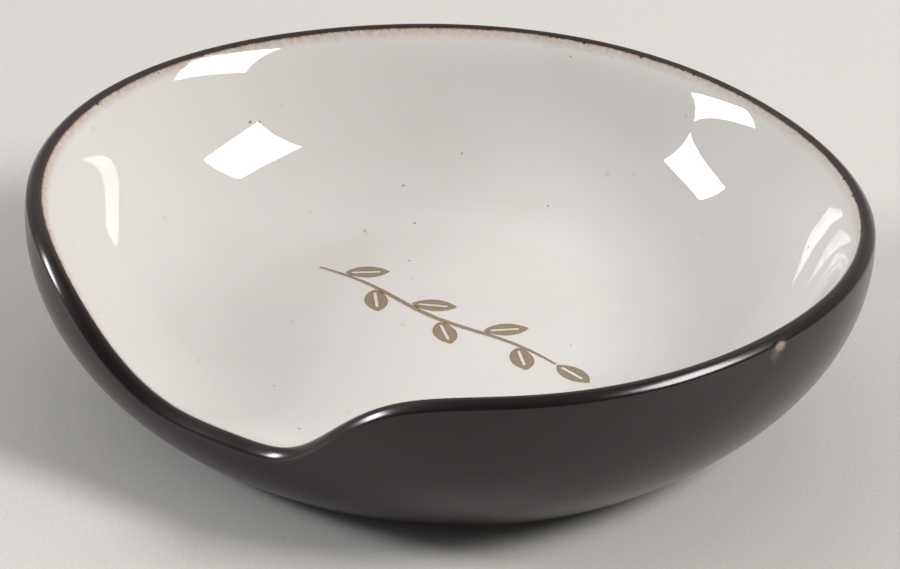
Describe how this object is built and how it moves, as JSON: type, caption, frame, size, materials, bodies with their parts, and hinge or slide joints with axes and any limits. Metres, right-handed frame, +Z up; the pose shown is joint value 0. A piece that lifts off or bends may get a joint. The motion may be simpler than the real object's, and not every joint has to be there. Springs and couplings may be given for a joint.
{
  "type": "spoon rest",
  "caption": "Shallow round stoneware spoon rest, white inside and black outside, with a dip in the rim for the handle and a stamped sprig on its floor.",
  "frame": {"origin": "middle of the flat base, on the surface that the dish stands on", "axes": "+Z up, -Y towards the notch in the rim, +X to the right as seen from the notch"},
  "size_m": [0.127, 0.1174, 0.0324],
  "materials": {
    "bare_clay": "matt fired stoneware",
    "white_glaze": "gloss glaze with sparse specks",
    "black_glaze": "gloss glaze",
    "taupe_stain": "stain fired into the glaze"
  },
  "bodies": {
    "root": {"clay_body": "bare_clay", "liner_glaze": "white_glaze", "outer_glaze": "black_glaze", "sprig_stem": "taupe_stain", "sprig_leaf_1": "taupe_stain", "sprig_leaf_2": "taupe_stain", "sprig_leaf_3": "taupe_stain", "sprig_leaf_4": "taupe_stain", "sprig_leaf_5": "taupe_stain", "sprig_leaf_6": "taupe_stain", "sprig_leaf_7": "taupe_stain"}
  },
  "joints": []
}
